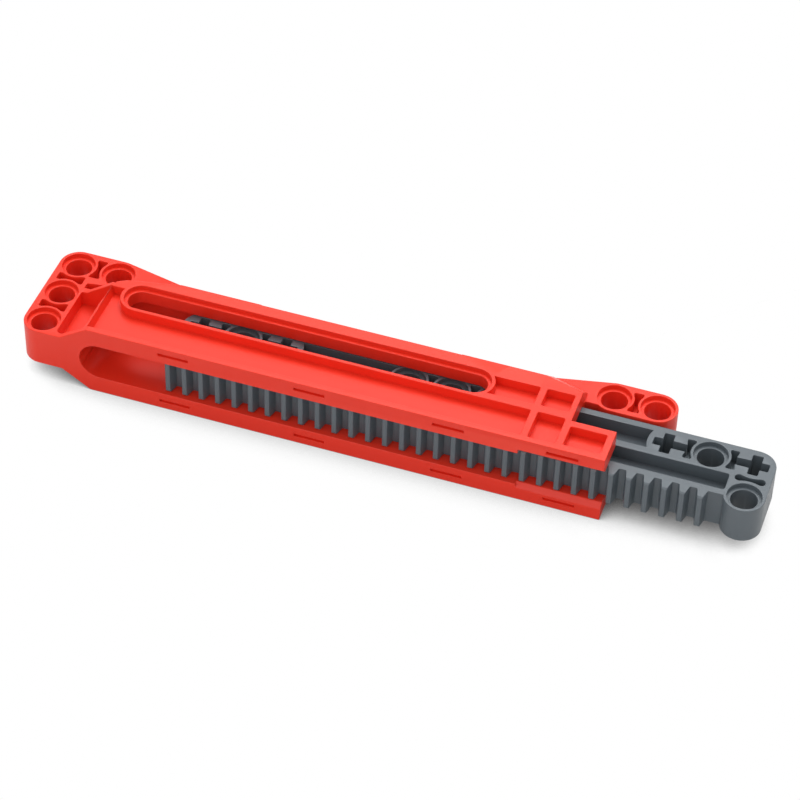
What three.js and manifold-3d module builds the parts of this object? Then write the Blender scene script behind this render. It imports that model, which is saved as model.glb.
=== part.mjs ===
// Straight gear rack sliding in a long moulded housing.
// Millimetres, +Z up. X runs along the rack, the rack pulls out towards +X.
// Y = 0 is the centre row of the rack, the teeth point to -Y, Z = 0 is the mid plane.
// "Front" is the open toothed side at -Y, "back" is +Y, "left" is -X, "right" is +X.
import * as THREE from 'three';
import { ConvexGeometry } from 'three/addons/geometries/ConvexGeometry.js';
import { mergeVertices } from 'three/addons/utils/BufferGeometryUtils.js';
import Module from 'manifold-3d';

// ---- grid and pin holes
const PITCH = 8.0;
const BORE_R = 2.4;
const CBORE_R = 3.1;          // counterbore at both mouths of a pin hole
const CBORE_DEPTH = 0.9;
const PIN_SEGMENTS = 40;
const LUG_R = 3.7;            // outer radius of a lug or boss
const RING_R = 3.6;           // outer radius of the thin ring round a hole
const HOLLOW_CORNER_R = 0.2;

// ---- housing: levels, as half thicknesses or heights above the mid plane
const LUG_HALF = 3.9;         // one-pitch lugs
const TOP_HALF = 7.4;         // two-pitch body
const WEB_HALF = 0.9;         // web at the bottom of the hollows
const FLOOR_Z = 5.4;          // floor of the recesses in both plates
const TOP_CUT = TOP_HALF + 1; // cuts end here, clear of the body
const LUG_CUT = LUG_HALF + 1; // cuts end here, clear of the lugs
const HOLLOW_CUT = LUG_HALF + 0.5;

// ---- housing: outline
const LUG_X = 13 * PITCH;     // first of the two lugs at the right end
const FRONT_Y = -(PITCH + LUG_R);
const BACK_Y = 5.6;
const END_FRONT_X = 107.5;    // right end of the plates on the toothed side
const END_BACK_X = 99.2;      // right end of the plates on the back side
const NOTCH_Y = -4.0;         // edge between the two plate ends
const LUG_INNER_Y = 5.1;      // front edge of the arm to the right lugs
const LUG_INNER_R = 0.5;
const TAPER_LEFT = 12.1;      // degrees in plan, back wall to the lugs
const TAPER_RIGHT = 12.7;
const TAPER_FILLET_R = 6;
const BEYOND_X = 130;         // past the right end of everything

// ---- housing: channel for the rack
const CHANNEL_HALF = 3.8;
const CHANNEL_BACK_Y = 3.95;
const CHANNEL_END_X = 12.2;   // centre of the full-round inner end
const POCKET_WALL_R = 5.0;    // outside of the wall round the inner end
const LEAD_IN = { x0: 91.8, x1: 111.8, innerZ: 3.7, outerZ: 5.8, reach: 1 };

// ---- housing: sloped flanks, and the rib behind the end pocket
const RAMP_X0 = 4.55;
const RAMP_X1 = 10.1;
const FLANK_RUN = 3.76;       // run in plan from the upper edge to channel height
const FLANK_LEFT = [[RAMP_X1, 2.37], [11.9, 3.45], [21.8, BACK_Y]];  // upper edge, x, y
const FLANK_RIGHT = [[91.8, BACK_Y], [98.95, 3.7]];
const RIB = { footX: 3.85, topX: 9.6, endX: 12, y0: 1.2, y1: 2.15, sink: 0.4 };

// ---- housing: slot, recesses and hollows
const SLOT_X0 = 2 * PITCH;
const SLOT_X1 = 10 * PITCH;
const SLOT_R = 2.45;
const SLOT_STEP_R = 3.13;     // step round the mouth of the slot
const SLOT_STEP_DEPTH = 0.93;
const RIM_R = 3.84;           // rim left standing round the slot
const RECESS_FRONT_Y = -10.5;
const RECESS_LEFT_X = 11;
const RECESS_RIGHT_X = 91.7;
const SLOT_END_RECESS_HALF = 2.3;
const DRAFT_END_X = 11.5;
const DRAFT_WALL = [[10.2, FLOOR_Z], [9.8, 6.9], [9.8, 9]];  // x, z of the left recess wall
const CELL_CORNER_R = 0.3;
const CELLS = [               // recesses at the right end: x0, x1, y0, y1
  [93.0, 98.1, -2.1, 2.35],
  [93.05, 98.1, -10.5, -3.85],
  [99.5, 106.2, -10.3, -5.4],
];
const END_POCKET = [          // x, y, corner radius
  [3.55, -10.6, 0.7], [9.2, -10.6, 0.3], [9.2, -3.6],
  [9.5, -1.4], [9.5, RIB.y0], [3.55, RIB.y0, 0.3],
];
const RIB_HOLLOW = [          // small hollow on the back side of the rib: x, y, corner radius
  [3.55, 2.3, 0.25], [9.0, 2.3, 0.3], [9.0, 3.4, 0.3], [6.4, 4.15, 0.3], [3.55, 3.7, 0.25],
];
const LUG_HOLLOWS = [         // centre in grid steps, direction, low and high reach, flat
  [0, 0.5, 'y', -2.5, 2.65, 0.65],
  [0, -0.5, 'y', -2.5, 2.65, 0.65],
  [0.5, 1, 'x', -2.5, 2.4, 0.45],
  [13.5, 1, 'x', -2.62, 2.4, 0.6],
];
const LUG_HOLES = [           // place in grid steps, height where the counterbore cut ends
  [0, 1, LUG_CUT], [0, 0, LUG_CUT], [0, -1, LUG_CUT],
  [1, 1, TOP_CUT],            // also cuts into the flank above it
  [13, 1, LUG_CUT], [14, 1, LUG_CUT],
];
const SLITS = { centres: [26.85, 52.9, 78.9, 99.85], half: 2.9, depth: 0.6, z0: 5.4, z1: 6.0 };

// ---- rack: places are measured from its first hole
const RACK_X = 27.8;          // first rack hole at rest
const RACK_HALF = 3.7;
const RACK_WEB_HALF = 0.86;
const RACK_CUT = RACK_HALF + 1;
const RACK_LAST = 13 * PITCH;
const TOOTH = {
  pitch: 3.2, count: 32, x0: -2.4, tipY: -10.95, rootY: -8.95,
  tipWidth: 0.9, rootWidth: 1.9, tipR: 0.16, rootR: 0.25, chamfer: 0.3,
};
const CHAMFER_X0 = -4;
const CHAMFER_X1 = 98.5;
const AXLE = { span: 4.9, width: 1.85, endR: 0.2, innerR: 0.15 };
const GROOVE_HALF = 0.9;
const RACK_PINS = [1, 5, 6, 7, 8, 12];                 // grid positions with round holes
const RACK_AXLES = [[0, 1], [2, -1], [11, 1], [13, -1]];  // cross holes, side of the groove
const RELIEVED_PINS = [1, 12];                         // round holes next to cross holes
const RELIEF = { innerR: 3.65, outer: 4.85, sag: 0.45, reach: 2.35, flat: 0.4, cornerR: 0.25 };
const ROW_POCKET = { y0: -2.1, y1: 2.4, arcX: 13.6, arcR: 6 };
const RACK_HOLLOW_REACH = 2.35;
const RACK_HOLLOW_FLAT = 0.25;
const DOG_BONE = { y: -3.82, halfLength: 1.7, neckHalf: 0.4, flare: 0.3, bulb: 0.28 };

const FINISHES = {
  housing: { color: 0xc4120c, roughness: 0.28, metalness: 0 },
  rack: { color: 0x565d61, roughness: 0.32, metalness: 0 },
};

const SIDES = [1, -1];        // upper and lower, or right and left

const { degToRad, radToDeg, clamp } = THREE.MathUtils;
const wasm = await Module();
wasm.setup();
const { Manifold, Mesh } = wasm;

// ================= conversion between three and manifold
function solid(source) {
  source.deleteAttribute('normal');
  source.deleteAttribute('uv');
  const merged = mergeVertices(source, 1e-5);
  return new Manifold(new Mesh({
    numProp: 3,
    vertProperties: new Float32Array(merged.attributes.position.array),
    triVerts: new Uint32Array(merged.index.array),
  }));
}

function toGeometry(manifold) {
  const mesh = manifold.getMesh();
  const geometry = new THREE.BufferGeometry();
  geometry.setAttribute('position', new THREE.BufferAttribute(mesh.vertProperties, 3));
  geometry.setIndex(new THREE.BufferAttribute(mesh.triVerts, 1));
  geometry.computeVertexNormals();
  return geometry;
}

// ================= outlines: lists of [x, y], or [x, y, corner radius] before rounding
const asinDeg = (ratio) => radToDeg(Math.asin(ratio));

function arc(cx, cy, radius, from, to, steps) {
  const points = [];
  for (let i = 0; i <= steps; i++) {
    const angle = degToRad(from + (to - from) * i / steps);
    points.push([cx + radius * Math.cos(angle), cy + radius * Math.sin(angle)]);
  }
  return points;
}

// replaces each corner that has a radius; a fillet takes at most 0.48 of either edge
function rounded(points, steps = 2) {
  return points.flatMap(([x, y, radius], i) => {
    if (!radius) return [[x, y]];
    const corner = new THREE.Vector2(x, y);
    const before = new THREE.Vector2(...points.at(i - 1)).sub(corner);
    const after = new THREE.Vector2(...points[(i + 1) % points.length]).sub(corner);
    const lengthBefore = before.length();
    const lengthAfter = after.length();
    before.divideScalar(lengthBefore);
    after.divideScalar(lengthAfter);
    const half = Math.acos(clamp(before.dot(after), -1, 1)) / 2;
    const trim = Math.min(radius / Math.tan(half), lengthBefore * 0.48, lengthAfter * 0.48);
    const fitted = trim * Math.tan(half);
    const centre = before.clone().add(after).normalize()
      .multiplyScalar(fitted / Math.sin(half)).add(corner);
    const start = before.multiplyScalar(trim).add(corner).sub(centre);
    const end = after.multiplyScalar(trim).add(corner).sub(centre);
    const from = Math.atan2(start.y, start.x);
    let turn = Math.atan2(end.y, end.x) - from;
    if (turn > Math.PI) turn -= 2 * Math.PI;
    if (turn < -Math.PI) turn += 2 * Math.PI;
    return arc(centre.x, centre.y, fitted, radToDeg(from), radToDeg(from + turn), steps);
  });
}

function roundedBox(x0, x1, y0, y1, radius) {
  return rounded([[x0, y0, radius], [x1, y0, radius], [x1, y1, radius], [x0, y1, radius]]);
}

// Hollow between two neighbouring rings, centred on (cx, cy); the rings lie along `along`.
// low and high are the reach across that line, flat is the length of the straight ends.
function ringHollow(cx, cy, along, low, high, flat) {
  const steps = 8;
  const first = [];
  const second = [];
  for (let i = 0; i <= steps; i++) {
    const across = low + (high - low) * i / steps;
    const held = clamp(across, low + flat, high - flat);
    const gap = PITCH / 2 - Math.sqrt(RING_R ** 2 - held ** 2);
    const radius = i === 0 || i === steps ? HOLLOW_CORNER_R : 0;
    first.push([-gap, across, radius]);
    second.push([gap, across, radius]);
  }
  return rounded([...first, ...second.reverse()])
    .map(([u, v]) => (along === 'x' ? [cx + u, cy + v] : [cx + v, cy + u]));
}

// ================= basic solids
// extrudes along Z from 0, dropping points that repeat where pieces of an outline meet
function extrude(points, depth) {
  const apart = (a, b) => Math.hypot(a[0] - b[0], a[1] - b[1]) > 1e-4;
  const kept = [];
  for (const point of points) {
    if (!kept.length || apart(kept.at(-1), point)) kept.push(point);
  }
  if (!apart(kept[0], kept.at(-1))) kept.pop();
  const shape = new THREE.Shape(kept.map(([x, y]) => new THREE.Vector2(x, y)));
  return new THREE.ExtrudeGeometry(shape, { depth, bevelEnabled: false });
}

function prism(points, z0, z1) {
  return solid(extrude(points, z1 - z0).translate(0, 0, z0));
}

// outline in the XZ plane
function prismY(points, y0, y1) {
  return solid(extrude(points, y1 - y0).rotateX(Math.PI / 2).translate(0, y1, 0));
}

// outline in the YZ plane
function prismX(points, x0, x1) {
  const turn = new THREE.Matrix4().makeBasis(
    new THREE.Vector3(0, 1, 0), new THREE.Vector3(0, 0, 1), new THREE.Vector3(1, 0, 0));
  return solid(extrude(points, x1 - x0).applyMatrix4(turn).translate(x0, 0, 0));
}

// the same cut into both faces of a part, from height inner outwards
function both(points, inner, outer = TOP_CUT) {
  return prism(points, inner, outer).add(prism(points, -outer, -inner));
}

function box(x0, x1, y0, y1, z0, z1) {
  const geometry = new THREE.BoxGeometry(x1 - x0, y1 - y0, z1 - z0);
  return solid(geometry.translate((x0 + x1) / 2, (y0 + y1) / 2, (z0 + z1) / 2));
}

// box between two heights on the upper (side 1) or lower (side -1) half
function sideBox(x0, x1, y0, y1, inner, outer, side) {
  const heights = [inner * side, outer * side];
  return box(x0, x1, y0, y1, Math.min(...heights), Math.max(...heights));
}

function hull(points) {
  return solid(new ConvexGeometry(points.map((point) => new THREE.Vector3(...point))));
}

function post(x, y, radius, z0, z1) {
  const geometry = new THREE.CylinderGeometry(radius, radius, z1 - z0, PIN_SEGMENTS);
  return solid(geometry.rotateX(Math.PI / 2).translate(x, y, (z0 + z1) / 2));
}

// cylinder along Y, on the axis of the channel's inner end
function channelRound(radius, y0, y1) {
  const geometry = new THREE.CylinderGeometry(radius, radius, y1 - y0, 64);
  return solid(geometry.translate(CHANNEL_END_X, (y0 + y1) / 2, 0));
}

function pinHole(x, y, half, outer) {
  return post(x, y, BORE_R, -half - 1, half + 1)
    .add(post(x, y, CBORE_R, half - CBORE_DEPTH, outer))
    .add(post(x, y, CBORE_R, -outer, -half + CBORE_DEPTH));
}

const subtractAll = (body, cuts) => cuts.reduce((rest, cut) => rest.subtract(cut), body);

// ================= housing
function housingOutline() {
  const left = degToRad(TAPER_LEFT);
  const right = degToRad(TAPER_RIGHT);
  const leftX = PITCH + LUG_R * Math.sin(left);
  const leftY = PITCH + LUG_R * Math.cos(left);
  const rightX = LUG_X - LUG_R * Math.sin(right);
  const rightY = PITCH + LUG_R * Math.cos(right);
  const leftFootX = leftX + (leftY - BACK_Y) / Math.tan(left);
  const rightFootX = rightX - (rightY - BACK_Y) / Math.tan(right);
  const innerAngle = asinDeg((PITCH - LUG_INNER_Y) / LUG_R);
  const innerX = LUG_X - LUG_R * Math.cos(degToRad(innerAngle));
  return [
    ...arc(0, -PITCH, LUG_R, 180, 270, 14),
    [END_FRONT_X, FRONT_Y],
    [END_FRONT_X, NOTCH_Y],
    ...rounded([
      [END_BACK_X, NOTCH_Y], [END_BACK_X, LUG_INNER_Y, LUG_INNER_R], [innerX, LUG_INNER_Y],
    ]),
    ...arc(LUG_X, PITCH, LUG_R, 180 + innerAngle, 270, 6),
    ...arc(LUG_X + PITCH, PITCH, LUG_R, 270, 450, 28),
    ...arc(LUG_X, PITCH, LUG_R, 90, 90 + TAPER_RIGHT, 3),
    ...rounded([
      [rightX, rightY], [rightFootX, BACK_Y, TAPER_FILLET_R],
      [leftFootX, BACK_Y, TAPER_FILLET_R], [leftX, leftY],
    ], 4),
    ...arc(PITCH, PITCH, LUG_R, 90 - TAPER_LEFT, 90, 3),
    ...arc(0, PITCH, LUG_R, 90, 180, 14),
  ];
}

// plan lines of the flanks: the edge at body level and the foot at channel height
function flankEdges() {
  const slope = ([a, b]) => (b[1] - a[1]) / (b[0] - a[0]);
  const yAt = (line, x) => line[0][1] + slope(line) * (x - line[0][0]);
  const top = [...FLANK_LEFT, FLANK_RIGHT[0], [END_FRONT_X, yAt(FLANK_RIGHT, END_FRONT_X)]];

  // each stretch of the edge, moved outwards by the run of the flank
  const lines = top.slice(1).map((end, i) => {
    const start = top[i];
    const along = new THREE.Vector2(end[0] - start[0], end[1] - start[1]).normalize();
    return [start, end].map(([x, y]) => [x - along.y * FLANK_RUN, y + along.x * FLANK_RUN]);
  });
  const crossings = lines.slice(1).map((next, i) => {
    const line = lines[i];
    const x = (yAt(next, 0) - yAt(line, 0)) / (slope(line) - slope(next));
    return [x, yAt(line, x)];
  });
  const foot = [
    [RAMP_X0, yAt(lines[0], RAMP_X0)],
    ...crossings,
    [END_FRONT_X, yAt(lines.at(-1), END_FRONT_X)],
  ];
  return { top, foot };
}

// lug level, the two-pitch body with its sloped flanks, and the ribs
function housingBody() {
  const outline = housingOutline();
  const plan = prism(outline, -TOP_CUT, TOP_CUT);
  const { top, foot } = flankEdges();
  const upper = [[RAMP_X1, FRONT_Y], [END_FRONT_X, FRONT_Y], ...top];
  const lower = [[RAMP_X0, FRONT_Y], [END_FRONT_X, FRONT_Y], ...foot];
  const ribFootZ = CHANNEL_HALF - RIB.sink;
  const rib = [
    [RIB.footX, ribFootZ], [RIB.topX, TOP_HALF], [RIB.endX, TOP_HALF], [RIB.endX, ribFootZ],
  ];
  let body = prism(outline, -LUG_HALF, LUG_HALF);
  for (const side of SIDES) {
    const raised = hull([
      ...upper.map(([x, y]) => [x, y, TOP_HALF * side]),
      ...lower.map(([x, y]) => [x, y, CHANNEL_HALF * side]),
    ]);
    // only the rib stands above lug level behind the end pocket
    const clear = sideBox(-10, RAMP_X1, RIB.y0, 20, LUG_HALF, TOP_CUT, side);
    body = body.add(raised.intersect(plan).subtract(clear));
  }
  for (const side of SIDES) {
    body = body.add(prismY(rib.map(([x, z]) => [x, z * side]), RIB.y0, RIB.y1));
  }
  return body;
}

function channelCuts() {
  const y0 = FRONT_Y - 2;
  return [
    box(CHANNEL_END_X, BEYOND_X, y0, CHANNEL_BACK_Y, -CHANNEL_HALF, CHANNEL_HALF),
    channelRound(CHANNEL_HALF, y0, CHANNEL_BACK_Y),
  ];
}

// long slot with a step round its mouth
function slotCuts() {
  const stadium = (radius) => [
    ...arc(SLOT_X1, 0, radius, -90, 90, 24),
    ...arc(SLOT_X0, 0, radius, 90, 270, 24),
  ];
  return [
    prism(stadium(SLOT_R), -TOP_CUT, TOP_CUT),
    both(stadium(SLOT_STEP_R), TOP_HALF - SLOT_STEP_DEPTH),
  ];
}

function recessCuts() {
  const trough = rounded([
    [RECESS_LEFT_X, RIB.y0],
    [RECESS_LEFT_X, RECESS_FRONT_Y],
    [RECESS_RIGHT_X, RECESS_FRONT_Y, 0.4],
    [RECESS_RIGHT_X, -RIM_R, 0.3],
    ...arc(SLOT_X0, 0, RIM_R, 270, 180 - asinDeg(RIB.y0 / RIM_R), 14),
  ]);
  const draftedWall = (side) => hull(DRAFT_WALL.flatMap(([x, z]) => [
    [x, RECESS_FRONT_Y, z * side], [DRAFT_END_X, RECESS_FRONT_Y, z * side],
    [DRAFT_END_X, RIB.y0, z * side], [x, RIB.y0, z * side],
  ]));
  const rimAngle = asinDeg(SLOT_END_RECESS_HALF / RIM_R);
  const slotEnd = rounded([
    ...arc(SLOT_X1, 0, RIM_R, -rimAngle, rimAngle, 8),
    [RECESS_RIGHT_X, SLOT_END_RECESS_HALF, 0.3],
    [RECESS_RIGHT_X, -SLOT_END_RECESS_HALF, 0.3],
  ]);
  return [
    both(trough, FLOOR_Z),
    ...SIDES.map(draftedWall),
    both(slotEnd, FLOOR_Z),
    ...CELLS.map((cell) => both(roundedBox(...cell, CELL_CORNER_R), FLOOR_Z)),
  ];
}

// end pocket, small hollow behind the rib and hollows between the lug rings
function hollowCuts() {
  return [
    both(rounded(END_POCKET), WEB_HALF).subtract(channelRound(POCKET_WALL_R, -15, 15)),
    both(rounded(RIB_HOLLOW), WEB_HALF, LUG_CUT),
    ...LUG_HOLLOWS.map(([column, row, ...form]) => (
      both(ringHollow(column * PITCH, row * PITCH, ...form), WEB_HALF, HOLLOW_CUT))),
  ];
}

// shallow slits in the front faces of the plates
function slitCuts() {
  const { centres, half, depth, z0, z1 } = SLITS;
  return centres.flatMap((x) => SIDES.map((side) => (
    sideBox(x - half, x + half, FRONT_Y - 1, FRONT_Y + depth, z0, z1, side))));
}

// chamfers at the front mouth of the channel, near its right end
function leadInCut(side) {
  const { x0, x1, innerZ, outerZ, reach } = LEAD_IN;
  return prismX([
    [FRONT_Y - reach, innerZ * side],
    [FRONT_Y - reach, outerZ * side],
    [FRONT_Y + reach, CHANNEL_HALF * side],
    [FRONT_Y + reach, innerZ * side],
  ], x0, x1);
}

// the plates stop short on the back side
function plateEndCut(side) {
  return sideBox(END_BACK_X, BEYOND_X, NOTCH_Y, 20, LUG_HALF, TOP_CUT, side);
}

function makeHousing() {
  return subtractAll(housingBody(), [
    ...channelCuts(),
    ...slotCuts(),
    ...recessCuts(),
    ...hollowCuts(),
    ...LUG_HOLES.map(([column, row, outer]) => (
      pinHole(column * PITCH, row * PITCH, LUG_HALF, outer))),
    ...slitCuts(),
    ...SIDES.map(leadInCut),
    ...SIDES.map(plateEndCut),
  ]);
}

// ================= rack
function rackOutline() {
  const { tipY, rootY, tipR, rootR } = TOOTH;
  const teeth = [];
  for (let k = TOOTH.count - 1; k >= 0; k--) {
    const x = TOOTH.x0 + k * TOOTH.pitch;
    const tip = TOOTH.tipWidth / 2;
    const root = TOOTH.rootWidth / 2;
    teeth.push(
      [x + root, rootY, rootR], [x + tip, tipY, tipR],
      [x - tip, tipY, tipR], [x - root, rootY, rootR]);
  }
  const bossX = RACK_LAST - Math.sqrt(LUG_R ** 2 - (rootY + PITCH) ** 2);
  const bossAngle = asinDeg(-(rootY + PITCH) / LUG_R) - 180;
  // the last point only sets the direction of the leftmost root fillet
  const toothedEdge = rounded([
    [bossX, rootY], ...teeth, [-LUG_R + 0.02, rootY - 0.02],
  ]).slice(0, -1);
  return [
    ...arc(RACK_LAST, 0, LUG_R, 90, 0, 14),
    ...arc(RACK_LAST, -PITCH, LUG_R, 0, bossAngle, 26),
    ...toothedEdge,
    [-LUG_R, rootY],
    ...arc(0, 0, LUG_R, 180, 90, 14),
  ];
}

// long pocket in the centre row, left of the middle holes
function rowPocket() {
  const { y0, y1, arcX, arcR } = ROW_POCKET;
  return [
    ...arc(arcX, 0, arcR, asinDeg(y1 / arcR), asinDeg(y0 / arcR), 6),
    ...arc(5 * PITCH, 0, RING_R, 180 - asinDeg(y0 / RING_R), 180 - asinDeg(y1 / RING_R), 10),
  ];
}

// narrow relief beside the ring round x
function ringRelief(x, side) {
  const { innerR, outer, sag, reach, flat, cornerR } = RELIEF;
  const steps = 8;
  const innerEdge = [];
  const outerEdge = [];
  for (let i = 0; i <= steps; i++) {
    const y = -reach + 2 * reach * i / steps;
    const held = clamp(y, -reach + flat, reach - flat);
    const radius = i === 0 || i === steps ? cornerR : 0;
    innerEdge.push([x + side * Math.sqrt(innerR ** 2 - held ** 2), y, radius]);
    outerEdge.push([x + side * (outer - sag * (1 - (held / reach) ** 2)), y, radius]);
  }
  return rounded([...innerEdge, ...outerEdge.reverse()]);
}

// dog-bone relief between the two holes at the right end
function dogBone() {
  const { y, halfLength, neckHalf, flare, bulb } = DOG_BONE;
  const endHalf = neckHalf + flare;
  const steps = 8;
  const back = [];
  const front = [];
  for (let i = 0; i <= steps; i++) {
    const x = -halfLength + 2 * halfLength * i / steps;
    const half = neckHalf + flare * (x / halfLength) ** 2;
    back.push([RACK_LAST + x, y + half]);
    front.push([RACK_LAST + x, y - half]);
  }
  const angle = radToDeg(Math.atan2(endHalf, bulb));
  const radius = Math.hypot(endHalf, bulb);
  const offset = halfLength + bulb;
  return [
    ...back.reverse(),
    ...arc(RACK_LAST - offset, y, radius, angle, 360 - angle, 10),
    ...front,
    ...arc(RACK_LAST + offset, y, radius, angle - 180, 180 - angle, 10),
  ];
}

function crossHole(centreX) {
  const end = AXLE.span / 2;
  const half = AXLE.width / 2;
  const points = [];
  let quarter = [[-end, -half, AXLE.endR], [-half, -half, AXLE.innerR], [-half, -end, AXLE.endR]];
  for (let i = 0; i < 4; i++) {
    points.push(...quarter);
    quarter = quarter.map(([x, y, radius]) => [-y, x, radius]);
  }
  const outline = rounded(points.map(([x, y, radius]) => [centreX + x, y, radius]));
  return prism(outline, -RACK_CUT, RACK_CUT);
}

// groove from a cross hole into the hollow on one side
function groove(centreX, side) {
  const start = centreX + side;
  const end = centreX + side * PITCH / 2;
  return [
    [start, -GROOVE_HALF], [end, -GROOVE_HALF], [end, GROOVE_HALF], [start, GROOVE_HALF],
  ];
}

// small chamfer on the upper or lower ends of the tooth tips
function tipChamfer(side) {
  const { tipY, chamfer } = TOOTH;
  return prismX([
    [tipY - 1, RACK_CUT * side],
    [tipY - 1, (RACK_HALF - chamfer - 1) * side],
    [tipY, (RACK_HALF - chamfer) * side],
    [tipY + chamfer, RACK_HALF * side],
    [tipY + chamfer, RACK_CUT * side],
  ], CHAMFER_X0, CHAMFER_X1);
}

function makeRack() {
  const pocket = rowPocket();
  const reach = RACK_HOLLOW_REACH;
  const hollows = [
    pocket,
    pocket.map(([x, y]) => [RACK_LAST - x, y]),
    roundedBox(-2.4, 100.3, -7.6, -3.6, 0.4),       // long pocket behind the teeth
    ...[5.5, 6.5, 7.5].map((column) => (
      ringHollow(column * PITCH, 0, 'x', -reach, reach, RACK_HOLLOW_FLAT))),
    ...RELIEVED_PINS.flatMap((i) => SIDES.map((side) => ringRelief(i * PITCH, side))),
    dogBone(),
    ...RACK_AXLES.map(([i, side]) => groove(i * PITCH, side)),
  ];
  return subtractAll(prism(rackOutline(), -RACK_HALF, RACK_HALF), [
    ...hollows.map((outline) => both(outline, RACK_WEB_HALF, RACK_CUT)),
    ...RACK_AXLES.map(([i]) => crossHole(i * PITCH)),
    ...SIDES.map(tipChamfer),
    ...RACK_PINS.map((i) => pinHole(i * PITCH, 0, RACK_HALF, RACK_CUT)),
    pinHole(RACK_LAST, -PITCH, RACK_HALF, RACK_CUT),
  ]).translate([RACK_X, 0, 0]);
}

// ================= assembly
const group = new THREE.Group();
group.name = 'rack_in_housing';
// origin: bottom centre of the whole part at rest
group.position.set(-(RACK_X + RACK_LAST) / 2, 0, TOP_HALF);

function addPart(name, manifold) {
  const material = new THREE.MeshStandardMaterial(FINISHES[name]);
  const mesh = new THREE.Mesh(toGeometry(manifold), material);
  mesh.name = name;
  group.add(mesh);
}
addPart('housing', makeHousing());
addPart('rack', makeRack());

export default group;
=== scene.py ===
# A red plastic housing with a grey toothed rack, lying on a white floor at z = 0.
# X runs along the part, the front faces -Y and +Z is up. The CAD faces are cleaned and
# their outer edges rounded; the scene is in metres, the mesh work is done in millimetres.
import math
import bpy
import bmesh
import mathutils
from mathutils import Matrix, Vector


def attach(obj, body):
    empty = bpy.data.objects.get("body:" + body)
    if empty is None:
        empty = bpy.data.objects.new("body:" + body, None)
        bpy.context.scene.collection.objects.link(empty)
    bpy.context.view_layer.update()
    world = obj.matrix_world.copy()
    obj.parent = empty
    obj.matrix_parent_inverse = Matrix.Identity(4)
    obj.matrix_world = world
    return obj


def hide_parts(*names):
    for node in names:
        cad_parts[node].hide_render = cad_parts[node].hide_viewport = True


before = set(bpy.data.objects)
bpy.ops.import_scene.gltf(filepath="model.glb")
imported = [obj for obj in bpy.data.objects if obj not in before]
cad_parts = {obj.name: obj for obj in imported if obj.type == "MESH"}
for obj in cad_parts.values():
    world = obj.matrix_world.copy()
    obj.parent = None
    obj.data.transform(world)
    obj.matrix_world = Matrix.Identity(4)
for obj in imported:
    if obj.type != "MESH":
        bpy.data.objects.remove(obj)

scene = bpy.context.scene
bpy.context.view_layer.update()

MM = 0.001
MM_PER_M = 1000
# Scene origin in part drawing coordinates (mm), where the left centre hole of the
# housing at mid height is (0, 0, 0).
ORIGIN = Vector((65.9, 0.0, -7.4))

# Edge rounding, mm
HOUSING_ROUNDING = 0.15
RACK_ROUNDING = 0.12
TOOTH_SCALE = 0.42            # rounding of the teeth against the rest of the rack
TEETH_FRONT_OF_Y = -8.6       # the teeth lie on the -Y side of this drawing line
TEETH_LEFT_OF_X = 127.9       # and on the -X side of this one
ROUNDING_SEGMENTS = 3

# Mesh cleaning, mm and radians
MERGE_DISTANCE = 0.004
DEGENERATE_LENGTH = 0.006
DISSOLVE_ANGLE = math.radians(0.6)
SAME_REGION_COS = 0.99995     # faces of one flat region agree this closely
FLATNESS = 0.02               # a region further out of plane keeps its faces

# Which edges are rounded
ROUNDED_ANGLE = math.radians(26)     # least bend
THIN_CORNER = math.radians(35)       # face corners sharper than this stay unrounded
THIN_CORNER_SETBACK = 2.3            # setback there, in roundings / tan(corner)
LONGEST_SETBACK = 0.8                # share of the edge; beyond it none is rounded
SHARED_ROOM = 0.45                   # part of a gap usable when both its edges are rounded
FREE_ROOM = 0.95                     # part usable when only one is
ROOM_MARGIN = 1.02

# Smooth shading
SMOOTH_COS = 0.913            # bends under 24 degrees
RADIUS_COS = 0.6              # bends allowed between the strips of a small corner radius
STRIP_WIDTH = 0.35            # mean width of such a strip, mm

# Material indices during rounding
FLAT, EDGE = 0, 1


# ------------------------------------------------------------------ flat regions
def number_regions(bm, region):
    """Number the flat regions from 1 up and return the normal of each."""
    for face in bm.faces:
        face[region] = 0
    number = 0
    flat_normals = {}
    for first in bm.faces:
        if first[region]:
            continue
        number += 1
        first[region] = number
        flat_normals[number] = first.normal.copy()
        stack = [first]
        while stack:
            for edge in stack.pop().edges:
                for face in edge.link_faces:
                    if not face[region] and face.normal.dot(first.normal) > SAME_REGION_COS:
                        face[region] = number
                        stack.append(face)
    return flat_normals


def room_beside(bm, region, wanted):
    """How far each wanted edge can be moved into its two flat regions."""
    rims = {}
    for edge in bm.edges:
        side_a, side_b = edge.link_faces
        if side_a[region] != side_b[region]:
            for face in (side_a, side_b):
                rims.setdefault(face[region], []).append(edge)
    room = {}
    for edge in wanted:
        least = 1e9
        middle = (edge.verts[0].co + edge.verts[1].co) / 2
        for face in edge.link_faces:
            for loop in face.loops:
                if loop.edge is edge:
                    along = (loop.link_loop_next.vert.co - loop.vert.co).normalized()
            inward = face.normal.cross(along)
            for other in rims[face[region]]:
                if other is edge:
                    continue
                start = other.verts[0].co - middle
                end = other.verts[1].co - middle
                x0, x1 = start.dot(along), end.dot(along)
                if not ((x0 <= 1e-6 and x1 >= -1e-6) or (x1 <= 1e-6 and x0 >= -1e-6)):
                    continue
                y0, y1 = start.dot(inward), end.dot(inward)
                if abs(x1 - x0) < 1e-9:
                    gap = min(y0, y1)
                else:
                    gap = y0 - (y1 - y0) * x0 / (x1 - x0)
                if gap > 1e-5:
                    least = min(least, gap * (SHARED_ROOM if other in wanted else FREE_ROOM))
        room[edge] = least
    return room


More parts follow.
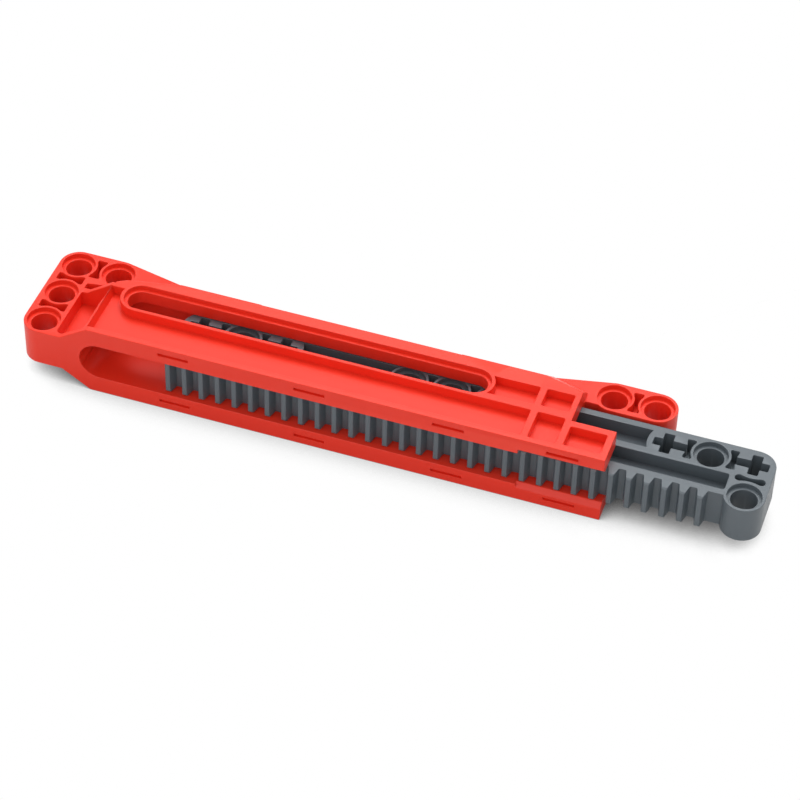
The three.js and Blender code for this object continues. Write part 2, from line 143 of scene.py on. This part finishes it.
def is_inside(point, segments):
    """Whether the directed outline winds anticlockwise round a 2D point."""
    winding = 0
    for start, end in segments:
        if (start.y <= point.y) != (end.y <= point.y):
            crossing = start.x + (point.y - start.y) * (end.x - start.x) / (end.y - start.y)
            if crossing > point.x:
                winding += 1 if end.y > start.y else -1
    return winding > 0


def region_triangles(faces, normal):
    """Vertex triples that fill the rim of a flat region, or None if it can't be filled."""
    inside = set(faces)
    rim = []
    for face in faces:
        for loop in face.loops:
            if any(beside not in inside for beside in loop.edge.link_faces):
                rim.append((loop.vert, loop.link_loop_next.vert))
    verts, ids = [], {}
    for pair in rim:
        for vert in pair:
            if vert not in ids:
                ids[vert] = len(verts)
                verts.append(vert)
    x_axis = normal.orthogonal().normalized()
    y_axis = normal.cross(x_axis)
    base = verts[0].co
    points = [Vector(((v.co - base).dot(x_axis), (v.co - base).dot(y_axis))) for v in verts]
    if max(abs((v.co - base).dot(normal)) for v in verts) > FLATNESS:
        return None
    pairs = [(ids[start], ids[end]) for start, end in rim]
    filled = mathutils.geometry.delaunay_2d_cdt(points, pairs, [], 0, 1e-7)
    places, triples, sources = filled[0], filled[2], filled[3]
    if len(places) != len(points) or any(len(source) != 1 for source in sources):
        return None
    segments = [(points[start], points[end]) for start, end in pairs]
    triangles = []
    for triple in triples:
        a, b, c = [places[i] for i in triple]
        if is_inside((a + b + c) / 3, segments):
            turn = (b.x - a.x) * (c.y - a.y) - (b.y - a.y) * (c.x - a.x)
            triangle = [verts[sources[i][0]] for i in triple]
            triangles.append(triangle if turn > 0 else triangle[::-1])
    return triangles


def refill(bm, region, flat_normals):
    """Give every flat region a clean triangulation between its edges."""
    groups = {}
    for face in bm.faces:
        if face.material_index == FLAT:
            groups.setdefault(face[region], []).append(face)
    for number, faces in groups.items():
        if len(faces) == 1 and len(faces[0].verts) <= 4:
            continue
        triangles = region_triangles(faces, flat_normals[number])
        if triangles is None:
            continue
        edges = set(edge for face in faces for edge in face.edges)
        bmesh.ops.delete(bm, geom=faces, context="FACES_ONLY")
        for edge in edges:
            if edge.is_valid and not edge.link_faces:
                bm.edges.remove(edge)
        for triangle in triangles:
            face = bm.faces.new(triangle)
            face[region] = number
            face.material_index = FLAT


# ------------------------------------------------------------------ corner normals
def mean_normal(faces, vert):
    """Mean of the face normals, weighted by their corner angles at a vertex."""
    total = Vector()
    for face in faces:
        total += face.normal * next(lp.calc_angle() for lp in face.loops if lp.vert is vert)
    total.normalize()
    return total


def mean_width(face):
    return face.calc_area() / max(edge.calc_length() for edge in face.edges)


def runs_smoothly(face, other):
    bend_cos = max(-1.0, min(1.0, face.normal.dot(other.normal)))
    if bend_cos > SMOOTH_COS:
        return True
    return min(mean_width(face), mean_width(other)) < STRIP_WIDTH and bend_cos > RADIUS_COS


def smooth_groups(vert):
    """The region faces round a vertex, grouped where they run smoothly into each other."""
    left = set(face for face in vert.link_faces if face.material_index == FLAT)
    groups = []
    while left:
        first = left.pop()
        group, stack = [first], [first]
        while stack:
            face = stack.pop()
            for edge in vert.link_edges:
                if face not in edge.link_faces:
                    continue
                for other in edge.link_faces:
                    if other in left and runs_smoothly(face, other):
                        left.discard(other)
                        group.append(other)
                        stack.append(other)
        groups.append(group)
    return groups


def corner_normals(bm):
    """Normals by (face, vertex): flat faces stay flat, curves and rounded edges are smooth."""
    result = {}
    for vert in bm.verts:
        merged = []
        for group in smooth_groups(vert):
            normal = mean_normal(group, vert)
            for entry in merged:
                if entry[1].dot(normal) > SMOOTH_COS:
                    entry[0].extend(group)
                    entry[1] = (entry[1] * len(entry[0]) + normal).normalized()
                    break
            else:
                merged.append([list(group), normal])
        for group, normal in merged:
            for face in group:
                result[(face.index, vert.index)] = normal
        # rounded edges take over the normal of the flat face they run into
        edge_faces = [face for face in vert.link_faces if face.material_index != FLAT]
        for face in edge_faces:
            normal = None
            for edge in face.edges:
                if vert in edge.verts:
                    for beside in edge.link_faces:
                        if beside.material_index == FLAT:
                            normal = result[(beside.index, vert.index)]
            if normal is None and merged:
                normal = max((entry[1] for entry in merged), key=lambda n: n.dot(face.normal))
            if normal is None:
                normal = mean_normal(edge_faces, vert)
            result[(face.index, vert.index)] = normal
    return result


# ------------------------------------------------------------------ moulded shells
def is_outer_edge(edge):
    return (len(edge.link_faces) == 2 and edge.is_convex
            and edge.calc_face_angle(0) > ROUNDED_ANGLE)


def cut_thin_corners(bm, width):
    """Split edges so that rounding stops short of thin points; return the unrounded edges."""
    setbacks = {}
    for face in bm.faces:
        for loop in face.loops:
            before, after = loop.link_loop_prev.edge, loop.edge
            if (is_outer_edge(before) and is_outer_edge(after)
                    and loop.calc_angle() < THIN_CORNER):
                setback = THIN_CORNER_SETBACK * width / math.tan(loop.calc_angle())
                for edge in (before, after):
                    key = (edge, loop.vert)
                    setbacks[key] = max(setbacks.get(key, 0), setback)
    unrounded = set()
    for (edge, vert), setback in setbacks.items():
        length = edge.calc_length()
        if setback > length * LONGEST_SETBACK:
            unrounded.add(edge)
            continue
        new_edge, _ = bmesh.utils.edge_split(edge, vert, setback / length)
        for part in (new_edge, edge):
            if vert in part.verts:
                unrounded.add(part)
    return unrounded


def mark_edges(mesh, width, edge_scale):
    """Clean a mesh, scale it to mm and weight the edges to round; return region normals."""
    bm = bmesh.new()
    bm.from_mesh(mesh)
    bmesh.ops.scale(bm, vec=(MM_PER_M,) * 3, verts=bm.verts)
    bmesh.ops.remove_doubles(bm, verts=bm.verts, dist=MERGE_DISTANCE)
    bmesh.ops.dissolve_degenerate(bm, dist=DEGENERATE_LENGTH, edges=bm.edges)
    bmesh.ops.dissolve_limit(bm, angle_limit=DISSOLVE_ANGLE, use_dissolve_boundaries=False,
                             verts=bm.verts, edges=bm.edges, delimit=set())
    bm.normal_update()
    weight = bm.edges.layers.float.new("bevel_weight_edge")
    region = bm.faces.layers.int.new("region")
    unrounded = cut_thin_corners(bm, width)
    bm.normal_update()
    flat_normals = number_regions(bm, region)
    for face in bm.faces:
        face.material_index = FLAT
    wanted = set(e for e in bm.edges if e not in unrounded and is_outer_edge(e))
    room = room_beside(bm, region, wanted)
    for edge in wanted:
        middle = (edge.verts[0].co + edge.verts[1].co) / 2
        rounding = width * edge_scale(middle + ORIGIN)
        edge[weight] = 0.0 if room[edge] < rounding * ROOM_MARGIN else rounding / width
    bm.to_mesh(mesh)
    bm.free()
    return flat_normals


def rounded(mesh, name, width, marks):
    """Replace a mesh by one with its weighted edges rounded."""
    holder = bpy.data.objects.new(name + "_tmp", mesh)
    scene.collection.objects.link(holder)
    for mark in marks:
        mesh.materials.append(mark)
    bevel = holder.modifiers.new("edges", "BEVEL")
    bevel.limit_method = "WEIGHT"
    bevel.width = width
    bevel.offset_type = "OFFSET"
    bevel.segments = ROUNDING_SEGMENTS
    bevel.profile = 0.5       # circular
    bevel.use_clamp_overlap = False
    bevel.loop_slide = False
    bevel.miter_outer = "MITER_SHARP"
    bevel.miter_inner = "MITER_SHARP"
    bevel.material = EDGE
    evaluated = holder.evaluated_get(bpy.context.evaluated_depsgraph_get())
    shell = bpy.data.meshes.new_from_object(evaluated)
    bpy.data.objects.remove(holder)
    bpy.data.meshes.remove(mesh)
    shell.name = name
    return shell


def finish_faces(shell, flat_normals):
    """Refill the regions, return to metres and find the corner normals."""
    bm = bmesh.new()
    bm.from_mesh(shell)
    bm.normal_update()
    refill(bm, bm.faces.layers.int.get("region"), flat_normals)
    many_sided = [face for face in bm.faces if len(face.verts) > 4]
    bmesh.ops.triangulate(bm, faces=many_sided, quad_method="BEAUTY", ngon_method="BEAUTY")
    bm.normal_update()
    bm.verts.index_update()
    bm.faces.index_update()
    normals = corner_normals(bm)
    for face in bm.faces:
        face.material_index = 0
        face.smooth = True
    bmesh.ops.scale(bm, vec=(MM,) * 3, verts=bm.verts)
    bm.to_mesh(shell)
    bm.free()
    return normals


def moulded(node, name, width, body, edge_scale=lambda place: 1.0):
    """A copy of a CAD node with clean flat faces and small rounded outer edges."""
    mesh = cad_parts[node].data.copy()
    mesh.materials.clear()
    flat_normals = mark_edges(mesh, width, edge_scale)
    marks = [bpy.data.materials.new("flat"), bpy.data.materials.new("edge")]
    shell = rounded(mesh, name, width, marks)
    normals = finish_faces(shell, flat_normals)
    shell.materials.clear()
    for mark in marks:
        bpy.data.materials.remove(mark)
    for attribute in ("region", "bevel_weight_edge"):
        if attribute in shell.attributes:
            shell.attributes.remove(shell.attributes[attribute])
    loop_normals = [None] * len(shell.loops)
    for polygon in shell.polygons:
        for i in polygon.loop_indices:
            loop_normals[i] = normals[(polygon.index, shell.loops[i].vertex_index)]
    shell.normals_split_custom_set(loop_normals)
    part = bpy.data.objects.new(name, shell)
    scene.collection.objects.link(part)
    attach(part, body)
    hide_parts(node)
    return part


def rack_edge_scale(place):
    """The teeth have finer edges than the rest of the rack."""
    on_teeth = place.y < TEETH_FRONT_OF_Y and place.x < TEETH_LEFT_OF_X
    return TOOTH_SCALE if on_teeth else 1.0


housing = moulded("housing", "housing_shell", HOUSING_ROUNDING, "housing")
rack = moulded("rack", "rack_shell", RACK_ROUNDING, "rack", rack_edge_scale)


# ------------------------------------------------------------------ shader helpers
MIX_FACTOR, MIX_A, MIX_B = 0, 6, 7      # inputs of a colour Mix node
MIX_RESULT = 2                          # its output


def feed(tree, node, inputs):
    """Set inputs by name or number, each from a value or a linked socket."""
    for key, value in inputs.items():
        if isinstance(value, bpy.types.NodeSocket):
            tree.links.new(value, node.inputs[key])
        else:
            node.inputs[key].default_value = value


def add(tree, kind, inputs, **settings):
    node = tree.nodes.new("ShaderNode" + kind)
    for key, value in settings.items():
        setattr(node, key, value)
    feed(tree, node, inputs)
    return node


def add_ramp(tree, factor, *stops):
    """A colour ramp through two (position, colour) stops."""
    ramp = add(tree, "ValToRGB", {"Fac": factor})
    for element, (position, color) in zip(ramp.color_ramp.elements, stops):
        element.position = position
        element.color = (*color, 1)
    return ramp.outputs["Color"]


# ------------------------------------------------------------------ plastics
def plastic(name, base, dark, pale, seed, shine, rough=0.34):
    """Moulded plastic; seed shifts its patterns, shine is the specular level."""
    material = bpy.data.materials.new(name)
    material.use_nodes = True
    tree = material.node_tree
    coords = add(tree, "TexCoord", {})
    shifted = add(tree, "Mapping", {"Vector": coords.outputs["Object"],
                                    "Location": (seed, seed * 0.7, seed * 0.3)})
    vector = shifted.outputs["Vector"]
    # broad, faint colour drift of the moulding
    drift = add(tree, "TexNoise", {"Vector": vector, "Scale": 55, "Detail": 3})
    drifted = add_ramp(tree, drift.outputs["Fac"], (0.3, dark), (0.7, base))
    # rubbed, slightly paler outer edges
    geometry = add(tree, "NewGeometry", {})
    edge = add_ramp(tree, geometry.outputs["Pointiness"], (0.515, (0, 0, 0)),
                    (0.6, (0.55, 0.55, 0.55)))
    worn = add(tree, "Mix", {MIX_FACTOR: edge, MIX_A: drifted, MIX_B: (*pale, 1)},
               data_type="RGBA")
    # fine handling marks in the gloss, over a softer pattern at half strength
    fine = add(tree, "TexNoise",
               {"Vector": vector, "Scale": 900, "Detail": 5, "Roughness": 0.6}).outputs["Fac"]
    soft = add(tree, "TexNoise", {"Vector": vector, "Scale": 120, "Detail": 2}).outputs["Fac"]
    marks = add(tree, "Math", {0: soft, 1: 0.5, 2: fine}, operation="MULTIPLY_ADD")
    gloss = add(tree, "MapRange", {"Value": marks.outputs[0],
                                   "From Min": 0.5, "From Max": 1.0,
                                   "To Min": rough - 0.04, "To Max": rough + 0.05})
    # fine spark-eroded grain, and the slight waviness of a moulded face
    grain = add(tree, "Bump", {"Strength": 0.06, "Distance": 0.000015, "Height": fine})
    waves = add(tree, "Bump", {"Strength": 0.08, "Distance": 0.00010, "Height": soft,
                               "Normal": grain.outputs["Normal"]})
    feed(tree, tree.nodes["Principled BSDF"], {
        "Base Color": worn.outputs[MIX_RESULT],
        "Roughness": gloss.outputs["Result"],
        "Normal": waves.outputs["Normal"],
        "IOR": 1.5,
        "Specular IOR Level": shine})
    return material


red = plastic("red_abs", base=(0.80, 0.034, 0.015), dark=(0.77, 0.031, 0.013),
              pale=(0.84, 0.055, 0.030), seed=3.1, shine=0.32)
grey = plastic("grey_abs", base=(0.094, 0.114, 0.130), dark=(0.088, 0.107, 0.122),
               pale=(0.140, 0.163, 0.182), seed=7.7, shine=0.5)
for part, node_name, material in ((housing, "housing", red), (rack, "rack", grey)):
    part.data.materials.append(material)
    for material_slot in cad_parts[node_name].material_slots:
        material_slot.material = material

# ------------------------------------------------------------------ floor
FLOOR_SIZE = 6.0
FLOOR_Z = -0.00002            # just under the part
# the close shadow on the floor is painted from ambient occlusion, not cast by the lamps
PAINTED_SHADOW_REACH = 0.06           # how far the close shadow spreads, m
PAINTED_SHADOW_POWER = 1.5            # darkens the close shadow
WHITE_GAIN = 2.03             # burns the open floor out to white
TOUCH_DISTANCE = 0.0003       # rays shorter than this pass through the floor, m


def floor_white():
    material = bpy.data.materials.new("floor_white")
    material.use_nodes = True
    tree = material.node_tree
    sheet = tree.nodes["Principled BSDF"]
    feed(tree, sheet, {"Base Color": (0.62, 0.615, 0.61, 1), "Roughness": 0.8,
                       "Specular IOR Level": 0.1})
    # the camera sees a white glow with a painted close shadow under the part: ambient occlusion
    # darkens the glow, no lamp casts this shadow
    close = add(tree, "AmbientOcclusion", {"Distance": PAINTED_SHADOW_REACH}, samples=16)
    painted_shadow = add(tree, "Math", {0: close.outputs["AO"], 1: PAINTED_SHADOW_POWER}, operation="POWER")
    glow_with_painted_shadow = add(tree, "Math", {0: painted_shadow.outputs[0], 1: WHITE_GAIN},
                operation="MULTIPLY", use_clamp=True)
    white = add(tree, "Emission", {"Color": (1.0, 1.0, 1.0, 1), "Strength": glow_with_painted_shadow.outputs[0]})
    path = add(tree, "LightPath", {})
    above = add(tree, "MixShader", {0: path.outputs["Is Camera Ray"],
                                    1: sheet.outputs["BSDF"],
                                    2: white.outputs["Emission"]})
    # the floor is clear from below, and light also reaches the faces that lie on it
    geometry = add(tree, "NewGeometry", {})
    clear = add(tree, "BsdfTransparent", {})
    touching = add(tree, "Math", {0: path.outputs["Ray Length"], 1: TOUCH_DISTANCE},
                   operation="LESS_THAN")
    see_through = add(tree, "Math", {0: geometry.outputs["Backfacing"],
                                     1: touching.outputs[0]}, operation="MAXIMUM")
    surface = add(tree, "MixShader", {0: see_through.outputs[0],
                                      1: above.outputs["Shader"],
                                      2: clear.outputs["BSDF"]})
    feed(tree, tree.nodes["Material Output"], {"Surface": surface.outputs["Shader"]})
    return material


bpy.ops.mesh.primitive_plane_add(size=FLOOR_SIZE, location=(0, 0, FLOOR_Z))
floor = bpy.context.object
floor.name = "floor"
floor.data.materials.append(floor_white())

# ------------------------------------------------------------------ light
SOFTBOX_DISTANCE = 1.0
# name, azimuth from +X and elevation in degrees, power in W, side in m
SOFTBOXES = (
    ("key_overhead", 92, 67, 6.4, 0.6),
    ("back_left", 135, 45, 0.5, 0.7),
    ("back_right", 40, 45, 1.0, 0.7),
    ("front_high", -95, 35, 1.7, 0.7),
    ("front_left", -135, 30, 0.7, 0.7),
)

world = bpy.data.worlds.new("studio")
scene.world = world
world.use_nodes = True
feed(world.node_tree, world.node_tree.nodes["Background"],
     {"Color": (1.0, 0.99, 0.985, 1), "Strength": 0.68})


def softbox(name, azimuth, elevation, power, size):
    """A square area light aimed at the origin."""
    azimuth, elevation = math.radians(azimuth), math.radians(elevation)
    light = bpy.data.lights.new(name, "AREA")
    light.energy = power
    light.size = size
    lamp = bpy.data.objects.new(name, light)
    scene.collection.objects.link(lamp)
    place = SOFTBOX_DISTANCE * Vector((math.cos(azimuth) * math.cos(elevation),
                                       math.sin(azimuth) * math.cos(elevation),
                                       math.sin(elevation)))
    lamp.location = place
    lamp.rotation_euler = (-place).to_track_quat("-Z", "Y").to_euler()


for row in SOFTBOXES:
    softbox(*row)

# ------------------------------------------------------------------ camera
CAMERA_PLACE = Vector((179.56111275304042, -357.4493042566823, 356.7472016617351))  # drawing mm
CAMERA_RIGHT = (0.9463545376407458, 0.3223609467782537, 0.022282483681086235)
CAMERA_UP = (-0.2382286232202502, 0.6494523972787716, 0.7221209779167481)
CAMERA_BACK = (0.21831218968567487, -0.6886907895863603, 0.6914078276773856)

camera_data = bpy.data.cameras.new("camera")
camera = bpy.data.objects.new("camera", camera_data)
scene.collection.objects.link(camera)
pose = Matrix((CAMERA_RIGHT, CAMERA_UP, CAMERA_BACK)).transposed().to_4x4()
pose.translation = (CAMERA_PLACE - ORIGIN) * MM
camera.matrix_world = pose
camera_data.sensor_width = 36
camera_data.lens = 128.8411965
camera_data.clip_start = 0.01
camera_data.clip_end = 20
scene.camera = camera

scene.view_settings.view_transform = "Standard"
scene.view_settings.look = "None"
scene.view_settings.exposure = 0.0
